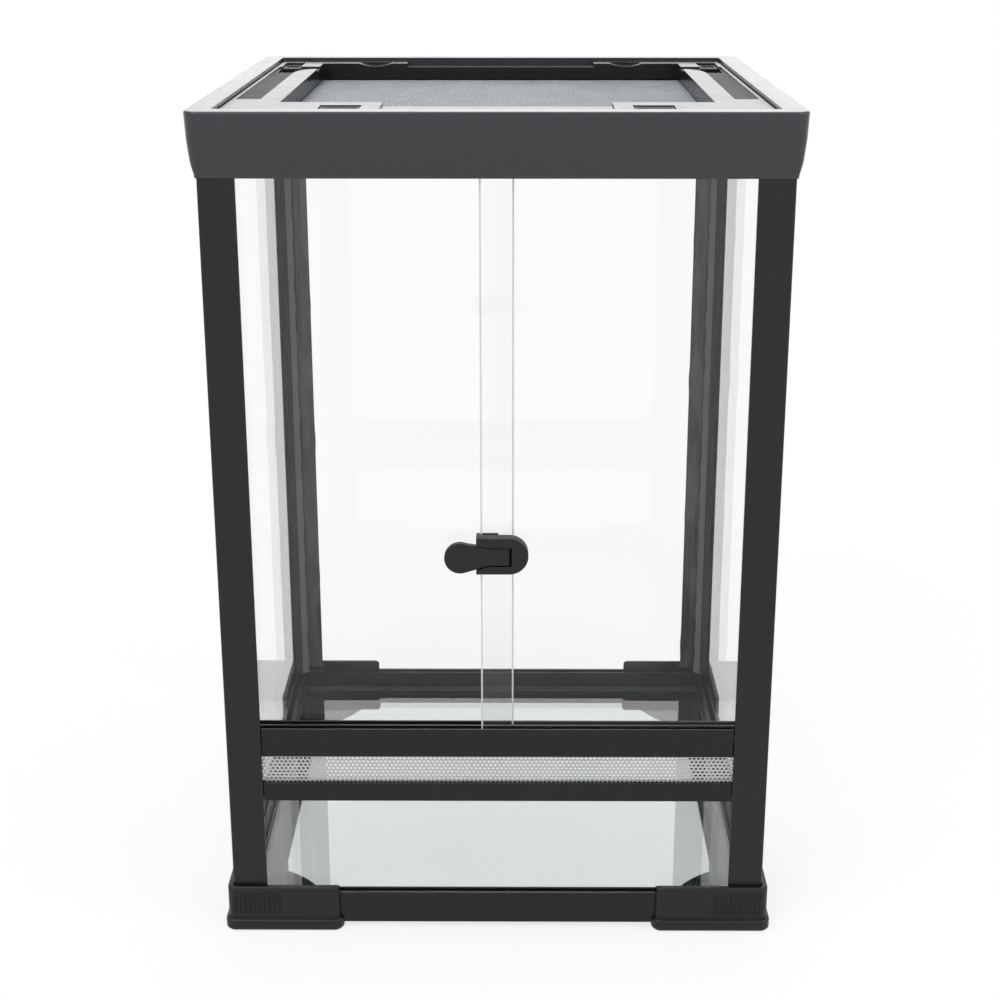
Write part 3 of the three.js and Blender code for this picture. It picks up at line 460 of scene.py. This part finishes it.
def settle(form, name, finishes, body, replaced=(), smooth=50.0):
    """Turns a form into a finished piece that rides on a body and stands for CAD nodes.

    Faces that meet at less than the smooth angle are shaded as one. Corners inside a rounded edge
    get an edge value of 1, and those between it and a flat face a smaller one, for the wear there.
    """
    mark = form.faces.layers.float.get("edge_face")
    edge = form.verts.layers.float.new("edge")
    if mark:
        for vert in form.verts:
            if vert.link_faces and all(face[mark] > 0.5 for face in vert.link_faces):
                vert[edge] = 1.0
            elif any(face[mark] > 0.5 for face in vert.link_faces):
                vert[edge] = 0.55
        form.faces.layers.float.remove(mark)
    for face in form.faces:
        face.smooth = True
    mesh = bpy.data.meshes.new(name)
    form.to_mesh(mesh)
    form.free()
    for finish in finishes:
        mesh.materials.append(material(finish))
    mesh.set_sharp_from_angle(angle=math.radians(smooth))
    piece = bpy.data.objects.new(name, mesh)
    bpy.context.scene.collection.objects.link(piece)
    if mark:  # large flat faces stay flat beside their rounded edges
        weighted = piece.modifiers.new("flat_faces", "WEIGHTED_NORMAL")
        weighted.keep_sharp = True
    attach(piece, body)
    if replaced:
        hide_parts(*replaced)


def dress(node, finish, width, segments=2):
    """Replaces a CAD node by a copy with rounded edges and a finish."""
    form = form_of(node)
    soften(form, width, segments)
    settle(form, f"{node}_finished", [finish], BODY_OF[node], [node])


def closed(form):
    """Merges a built form and turns its faces outwards."""
    bmesh.ops.remove_doubles(form, verts=form.verts, dist=1e-7)
    bmesh.ops.recalc_face_normals(form, faces=form.faces)


# ---------------------------------------------------------------- operators


class PieceOperator(bpy.types.Operator):
    """What the cabinet's operators share."""

    bl_options = {"REGISTER", "UNDO"}

    def execute(self, context):
        self.make(context.scene.cabinet_sizes)
        return {"FINISHED"}


class CABINET_OT_top_frame(PieceOperator):
    """Make the top frame of four mitred lengths"""

    bl_idname = "cabinet.top_frame"
    bl_label = "Top frame"

    def make(self, sizes):
        low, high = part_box("top_frame")
        # Each length is turned to the front, where its two mitres are cut, and turned back.
        for turn, side in enumerate(("front", "right", "rear", "left")):
            form = form_of("top_frame")
            soften(form, sizes.rim_edge)
            away = Matrix.Rotation(-math.pi / 2 * turn, 3, "Z")
            bmesh.ops.rotate(form, cent=(0, 0, 0), matrix=away, verts=form.verts)
            for way in (-1, 1):
                corner = Vector((way * high.x, low.y, 0))
                normal = Vector((way, 1, 0)).normalized()
                geometry = form.verts[:] + form.edges[:] + form.faces[:]
                bmesh.ops.bisect_plane(
                    form,
                    geom=geometry,
                    dist=1e-7,
                    plane_co=corner - normal * sizes.mitre_gap,
                    plane_no=normal,
                    clear_outer=True,
                )
                rim = [edge for edge in form.edges if edge.is_boundary]
                bmesh.ops.holes_fill(form, edges=rim, sides=0)
            bmesh.ops.rotate(form, cent=(0, 0, 0), matrix=away.inverted(), verts=form.verts)
            body, slot = BODY_OF["top_frame"], SLOT_OF["top_frame"]
            settle(form, f"top_frame_{side}", ["rim_gloss"], body, ["top_frame"])


class CABINET_OT_posts(PieceOperator):
    """Round the corner posts and give them their extruded finish"""

    bl_idname = "cabinet.posts"
    bl_label = "Corner posts"

    def make(self, sizes):
        for corner in CORNERS:
            dress(f"post_{corner}", "post_satin", sizes.post_edge)


class CABINET_OT_base(PieceOperator):
    """Round the base rails and the corner feet"""

    bl_idname = "cabinet.base"
    bl_label = "Base rails and feet"

    def make(self, sizes):
        for side, finish in (("front", "x"), ("rear", "x"), ("left", "y"), ("right", "y")):
            dress(f"base_rail_{side}", f"rail_{finish}", sizes.rail_edge)
        for corner in CORNERS:
            dress(f"foot_{corner}", "foot_satin", sizes.small_edge)


class CABINET_OT_tracks(PieceOperator):
    """Round the vent rail, the door sill and the upper track"""

    bl_idname = "cabinet.tracks"
    bl_label = "Front rails and tracks"

    def make(self, sizes):
        for node in ("vent_rail", "door_sill", "upper_track"):
            dress(node, "rail_x", sizes.rail_edge)


class CABINET_OT_glass(PieceOperator):
    """Give the panes clear faces and ground, chamfered edges"""

    bl_idname = "cabinet.glass"
    bl_label = "Glass"

    def make(self, sizes):
        panes = (
            "side_glass_left",
            "side_glass_right",
            "rear_glass",
            "floor_glass",
            "front_glass_lower",
            "door_left",
            "door_right",
        )
        for node in panes:
            low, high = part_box(node)
            thin = min(range(3), key=lambda axis: (high - low)[axis])
            slides = node.startswith("door")
            form = form_of(node)
            soften(form, sizes.door_arris if slides else sizes.arris, 1)
            form.normal_update()
            for face in form.faces:
                face.material_index = 0 if abs(face.normal[thin]) > 0.99 else 1
            finishes = ["floor_face" if node == "floor_glass" else "glass_face"]
            finishes.append("door_edge" if slides else "glass_edge")
            settle(form, f"{node}_pane", finishes, BODY_OF[node], [node], smooth=5.0)


class CABINET_OT_vent_strip(PieceOperator):
    """Make the vent strip as a sheet with fine staggered holes, cut to its size"""

    bl_idname = "cabinet.vent_strip"
    bl_label = "Vent strip"

    def make(self, sizes):
        low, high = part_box("vent_strip")
        across = round((high.x - low.x) / sizes.vent_pitch)
        pitch = (high.x - low.x) / across
        rise = pitch * math.sqrt(3) / 2
        rows = math.ceil((high.z - low.z) / rise)
        form = bmesh.new()
        cell = self.cell(form, pitch, rise, sizes.vent_hole)
        row = cell[:]
        for column in range(1, across + 1):
            row += self.copy(form, cell, (column * pitch, 0, 0))
        for level in range(1, rows):
            self.copy(form, row, (-(level % 2) * pitch / 2, 0, level * rise))
        bmesh.ops.remove_doubles(form, verts=form.verts, dist=1e-5)
        bmesh.ops.translate(form, verts=form.verts, vec=low)
        for limit, outwards in ((low, (-1, 0, 0)), (high, (1, 0, 0)), (high, (0, 0, 1))):
            whole = form.verts[:] + form.edges[:] + form.faces[:]
            bmesh.ops.bisect_plane(
                form, geom=whole, dist=1e-6, plane_co=limit, plane_no=outwards, clear_outer=True
            )
        sheet = bmesh.ops.extrude_face_region(form, geom=form.faces[:])["geom"]
        back = [g for g in sheet if isinstance(g, bmesh.types.BMVert)]
        bmesh.ops.translate(form, verts=back, vec=(0, high.y - low.y, 0))
        closed(form)
        body, slot = BODY_OF["vent_strip"], SLOT_OF["vent_strip"]
        settle(form, "vent_strip_punched", ["aluminium"], body, ["vent_strip"])

    @staticmethod
    def copy(form, geometry, step):
        """Copies part of a form and moves the copy."""
        made = bmesh.ops.duplicate(form, geom=geometry)["geom"]
        verts = [g for g in made if isinstance(g, bmesh.types.BMVert)]
        bmesh.ops.translate(form, verts=verts, vec=step)
        return made

    @staticmethod
    def cell(form, pitch, rise, radius):
        """One hole with the sheet round it, in the X-Z plane, from its lower left corner.

        The sheet's border starts as a slightly larger circle. Its corners are then moved out to the
        cell's sides, and those near a middle line stay on that line.
        """
        sides = 8
        near = radius * 0.2
        middle = Matrix.Translation((pitch / 2, 0, rise / 2))
        upright = middle @ Matrix.Rotation(math.pi / 2, 4, "X")
        hole, border = (
            bmesh.ops.create_circle(form, segments=sides, radius=size, matrix=upright)["verts"]
            for size in (radius, radius * 1.1)
        )
        for vert in border:
            x, z = vert.co.x - pitch / 2, vert.co.z - rise / 2
            vert.co.x = pitch / 2 * (1 + (0 if abs(x) < near else math.copysign(1, x)))
            vert.co.z = rise / 2 * (1 + (0 if abs(z) < near else math.copysign(1, z)))
        rings = {edge for vert in hole + border for edge in vert.link_edges}
        faces = bmesh.ops.bridge_loops(form, edges=list(rings))["faces"]
        edges = {edge for face in faces for edge in face.edges}
        return hole + border + list(edges) + faces


class CABINET_OT_lid(PieceOperator):
    """Round the lid, its screen clamp, the latches and the port shutters"""

    bl_idname = "cabinet.lid"
    bl_label = "Lid, latches and shutters"

    def make(self, sizes):
        self.lid_frame(sizes.rim_edge)
        dress("screen_clamp", "lid_gloss", sizes.small_edge)
        for side in ("left", "right"):
            dress(f"lid_latch_{side}", "lock_grain", sizes.slide_edge)
            dress(f"port_shutter_{side}", "lock_grain", sizes.slide_edge)

    @staticmethod
    def lid_frame(width):
        """The lid's frame, glossy but for the floors of its two lower side fields."""
        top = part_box("lid_frame")[1].z
        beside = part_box("screen_clamp")[1].x  # the fields lie outside the screen's clamp
        behind = beside * 0.8  # the cable ports' recesses start behind the fields
        shallow, deep = 0.0002, 0.0025  # limits of the fields' depth under the lid's top
        form = form_of("lid_frame")
        for face in form.faces:
            x, y, z = face.calc_center_median()
            lowered = shallow < top - z < deep and face.normal.z > 0.9
            if lowered and abs(x) > beside and y < behind:
                face.material_index = 1
        soften(form, width)
        body, slot = BODY_OF["lid_frame"], SLOT_OF["lid_frame"]
        settle(form, "lid_frame_finished", ["lid_gloss", "lid_sparked"], body, ["lid_frame"])


class CABINET_OT_screen(PieceOperator):
    """Make the lid's screen of fine crossed wires"""

    bl_idname = "cabinet.screen"
    bl_label = "Lid screen"

    def make(self, sizes):
        low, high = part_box("lid_screen")
        middle = (low + high) / 2
        form = bmesh.new()
        for axis in (0, 1):
            other = 1 - axis
            span = high[axis] - low[axis]
            count = int((high[other] - low[other] - 2 * sizes.wire) / sizes.mesh_pitch)
            turn = Matrix.Rotation(math.pi / 2, 4, "Y" if axis == 0 else "X")
            for i in range(count + 1):
                place = middle.copy()
                place[other] += (i - count / 2) * sizes.mesh_pitch
                # The two layers press into each other a little.
                place.z += sizes.wire * (0.95 if axis else -0.95)
                bmesh.ops.create_cone(
                    form,
                    cap_ends=True,
                    segments=6,
                    radius1=sizes.wire,
                    radius2=sizes.wire,
                    depth=span,
                    matrix=Matrix.Translation(place) @ turn,
                )
        body, slot = BODY_OF["lid_screen"], SLOT_OF["lid_screen"]
        settle(form, "lid_screen_wires", ["screen_wire"], body, ["lid_screen"])


class CABINET_OT_lock(PieceOperator):
    """Finish the lock: its clip, the thumb lever and the pin"""

    bl_idname = "cabinet.lock"
    bl_label = "Lock"

    def make(self, sizes):
        dress("lock_body", "lock_grain", sizes.small_edge, 3)
        dress("lock_lever", "lock_grain", sizes.lever_edge, 3)
        dress("lock_pin", "pin_steel", sizes.pin_edge)


class CABINET_OT_silicone(PieceOperator):
    """Make the finger-smoothed silicone beads in the corners of the glass"""

    bl_idname = "cabinet.silicone"
    bl_label = "Silicone beads"

    def make(self, sizes):
        for end, way_y in (("rear", 1), ("front", -1)):
            for side, way_x in (("left", -1), ("right", 1)):
                self.bead(f"seal_{end}_{side}", way_x, way_y, sizes.bead)

    @staticmethod
    def bead(node, way_x, way_y, leg):
        """A bead with a hollow face, whose width wanders as it goes up."""
        low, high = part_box(node)
        corner = Vector((high.x if way_x > 0 else low.x, high.y if way_y > 0 else low.y, low.z))
        form = bmesh.new()
        profile = [(0, 0), (leg, 0)]
        hollow = leg * 0.92  # radius of the hollow face
        parts = 6  # of its quarter turn
        for part in range(1, parts):
            angle = math.pi / 2 * part / parts
            profile.append((leg - math.sin(angle) * hollow, leg - math.cos(angle) * hollow))
        profile.append((0, leg))
        places = [(corner.x - x * way_x, corner.y - y * way_y, corner.z) for x, y in profile]
        verts = [form.verts.new(place) for place in places]
        face = bmesh.ops.contextual_create(form, geom=verts)["faces"][0]
        rise = 0.004  # height of one ring of the bead
        steps = max(8, int((high.z - low.z) / rise))
        per_metre = 260 * (1 + 0.1 * way_x)  # radians of the width's slower wave
        before = 1.0
        for step in range(steps):
            made = bmesh.ops.extrude_face_region(form, geom=[face, *face.edges])["geom"]
            face = next(g for g in made if isinstance(g, bmesh.types.BMFace))
            z = corner.z + (step + 1) * (high.z - low.z) / steps
            phase = z * per_metre
            wide = 0.86 + 0.08 * math.sin(phase) + 0.05 * math.sin(phase * 2.7 + way_y)
            for vert in face.verts:
                vert.co.x = corner.x + (vert.co.x - corner.x) * wide / before
                vert.co.y = corner.y + (vert.co.y - corner.y) * wide / before
                vert.co.z = z
            before = wide
        closed(form)
        settle(form, f"{node}_bead", ["silicone"], BODY_OF[node], [node], smooth=60.0)


class CABINET_OT_glue(PieceOperator):
    """Make the adhesive that shows between the glass and the posts"""

    bl_idname = "cabinet.glue"
    bl_label = "Adhesive"

    def make(self, sizes):
        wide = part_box("side_glass_right")[1].x
        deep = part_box("rear_glass")[1].y
        for corner, (way_x, way_y) in CORNERS.items():
            low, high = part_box(f"post_{corner}")
            reach = wide - (low.x if way_x > 0 else -high.x)
            for leg in ("x", "y"):
                if leg == "x" and way_y < 0:
                    continue  # the doors slide behind the front legs of the front posts
                form = bmesh.new()
                inset = 0.002  # of the film's ends from the post's
                seed = way_x + 2 * way_y
                self.film(form, low.z + inset, high.z - inset, reach, sizes.glue_wave, seed)
                for vert in form.verts:
                    across, through, up = vert.co
                    if leg == "x":
                        vert.co = (way_x * (wide - across), way_y * (deep + through), up)
                    else:
                        vert.co = (way_x * (wide + through), way_y * (deep - across), up)
                closed(form)
                settle(form, f"glue_{corner}_{leg}", ["glue"], "cabinet", smooth=60.0)

    @staticmethod
    def film(form, low, high, reach, wave, seed):
        """A thin film from the corner to a wandering inner edge."""
        thickness = 0.0001  # and its distance from the glass
        rise = 0.003  # height of one row of faces
        steps = int((high - low) / rise)
        bmesh.ops.create_grid(form, x_segments=2, y_segments=steps, size=0.5)
        for vert in form.verts:
            z = low + (vert.co.y + 0.5) * (high - low)
            across = (vert.co.x + 0.5) * reach
            if vert.co.x > 0.4:  # the inner edge; its waves are in radians per metre of height
                swing = math.sin(z * 95 + seed) + 0.6 * math.sin(z * 212 + 2 * seed)
                lobe = max(0.0, math.sin(z * 62 + seed * 1.7)) ** 6
                across += wave * (0.12 * swing + 0.7 * lobe)
            vert.co = (across, thickness, z)
        made = bmesh.ops.extrude_face_region(form, geom=form.faces[:])["geom"]
        top = [g for g in made if isinstance(g, bmesh.types.BMVert)]
        bmesh.ops.translate(form, verts=top, vec=(0, thickness, 0))


class CABINET_OT_stage(PieceOperator):
    """Set up the floor, the white surroundings, the lights and the camera"""

    bl_idname = "cabinet.stage"
    bl_label = "Stage"

    def make(self, sizes):
        self.floor()
        self.world()
        self.lamp("key_light", (-1.1, -1.5, 1.9), 1.4, 26.0)
        self.lamp("fill_light", (1.6, -1.0, 1.1), 1.6, 13.0)
        self.lamp("top_light", (0.1, 0.3, 2.3), 1.8, 15.0)
        self.lamp("back_light", (0.1, 1.7, 0.95), 1.3, 4.8)
        self.camera()

    @staticmethod
    def floor():
        """A wide floor that grows white away from the cabinet."""
        form = bmesh.new()
        bmesh.ops.create_grid(form, x_segments=1, y_segments=1, size=8.0)
        mesh = bpy.data.meshes.new("studio_floor")
        form.to_mesh(mesh)
        form.free()
        paint = Paint(bpy.data.materials.new("studio_floor"))
        seen = CABINET_OT_stage.seen_directly(paint)
        measure = {"operation": "LENGTH"}
        away = paint.node("ShaderNodeVectorMath", measure, {0: paint.place}, "Value")
        share = paint.limited(0.0, 1.0, 0.82 + (away - 0.3) * 0.45)
        lit = paint.node("ShaderNodeBsdfDiffuse", inputs={"Color": (0.9, 0.9, 0.9, 1)})
        white = paint.node("ShaderNodeEmission", inputs={"Color": (1, 1, 1, 1), "Strength": 1.0})
        mixed = paint.node("ShaderNodeMixShader", inputs={0: seen * share, 1: lit, 2: white})
        mesh.materials.append(paint.done(mixed))
        floor = bpy.data.objects.new("studio_floor", mesh)
        bpy.context.scene.collection.objects.link(floor)

    @staticmethod
    def seen_directly(paint):
        """1 for rays from the camera, from a mirror or through glass."""
        rays = [
            paint.node("ShaderNodeLightPath", out=f"Is {kind} Ray")
            for kind in ("Camera", "Glossy", "Transmission")
        ]
        return paint.limited(0.0, 1.0, rays[0] + rays[1] + rays[2])

    @staticmethod
    def world():
        """White surroundings, which look brighter than the light they give."""
        world = bpy.data.worlds.new("studio_white")
        bpy.context.scene.world = world
        paint = Paint(world)
        seen = CABINET_OT_stage.seen_directly(paint)
        ambient, white = (
            paint.node("ShaderNodeBackground", inputs={"Color": (1, 1, 1, 1), "Strength": strength})
            for strength in (0.55, 1.0)
        )
        mixed = paint.node("ShaderNodeMixShader", inputs={0: seen, 1: ambient, 2: white})
        paint.node("ShaderNodeOutputWorld", inputs={"Surface": mixed})

    @staticmethod
    def lamp(name, place, size, power):
        """A square lamp that faces the cabinet and isn't seen itself."""
        light = bpy.data.lights.new(name, "AREA")
        light.size = size
        light.energy = power
        lamp = bpy.data.objects.new(name, light)
        lamp.location = place
        lamp.visible_camera = False
        middle = Vector((0, 0, 0.22))  # of the cabinet
        lamp.rotation_euler = (middle - lamp.location).to_track_quat("-Z", "Y").to_euler()
        bpy.context.scene.collection.objects.link(lamp)

    @staticmethod
    def camera():
        """The photo's view: square from the front and a little from above."""
        lens = bpy.data.cameras.new("camera")
        lens.lens = 62.4
        lens.sensor_width = 36.0
        lens.shift_x = -0.0061
        lens.shift_y = -0.06
        lens.clip_start, lens.clip_end = 0.05, 40.0
        camera = bpy.data.objects.new("camera", lens)
        camera.location = (0.0087, -1.03, 0.573)
        camera.rotation_euler = (math.radians(90 - 17.45), 0, math.radians(0.248))
        bpy.context.scene.collection.objects.link(camera)
        bpy.context.scene.camera = camera
        bpy.context.scene.view_settings.view_transform = "Standard"


OPERATORS = (
    CABINET_OT_stage,
    CABINET_OT_top_frame,
    CABINET_OT_posts,
    CABINET_OT_base,
    CABINET_OT_tracks,
    CABINET_OT_glass,
    CABINET_OT_vent_strip,
    CABINET_OT_lid,
    CABINET_OT_screen,
    CABINET_OT_lock,
    CABINET_OT_silicone,
    CABINET_OT_glue,
)


class CABINET_PT_pieces(bpy.types.Panel):
    """Lists the cabinet's pieces, sizes and colours"""

    bl_idname = "CABINET_PT_pieces"
    bl_label = "Cabinet"
    bl_space_type = "VIEW_3D"
    bl_region_type = "UI"
    bl_category = "Cabinet"

    def draw(self, context):
        for operator in OPERATORS:
            self.layout.operator(operator.bl_idname)
        for settings in (context.scene.cabinet_sizes, context.scene.cabinet_colours):
            column = self.layout.column()
            for name in settings.__annotations__:
                column.prop(settings, name)


CLASSES = (CabinetSizes, CabinetColours, *OPERATORS, CABINET_PT_pieces)


def register():
    for kind in CLASSES:
        bpy.utils.register_class(kind)
    bpy.types.Scene.cabinet_sizes = bpy.props.PointerProperty(type=CabinetSizes)
    bpy.types.Scene.cabinet_colours = bpy.props.PointerProperty(type=CabinetColours)


def unregister():
    del bpy.types.Scene.cabinet_colours
    del bpy.types.Scene.cabinet_sizes
    for kind in reversed(CLASSES):
        bpy.utils.unregister_class(kind)


def main():
    register()
    for operator in OPERATORS:
        group, name = operator.bl_idname.split(".")
        getattr(getattr(bpy.ops, group), name)()


if __name__ == "__main__":
    main()
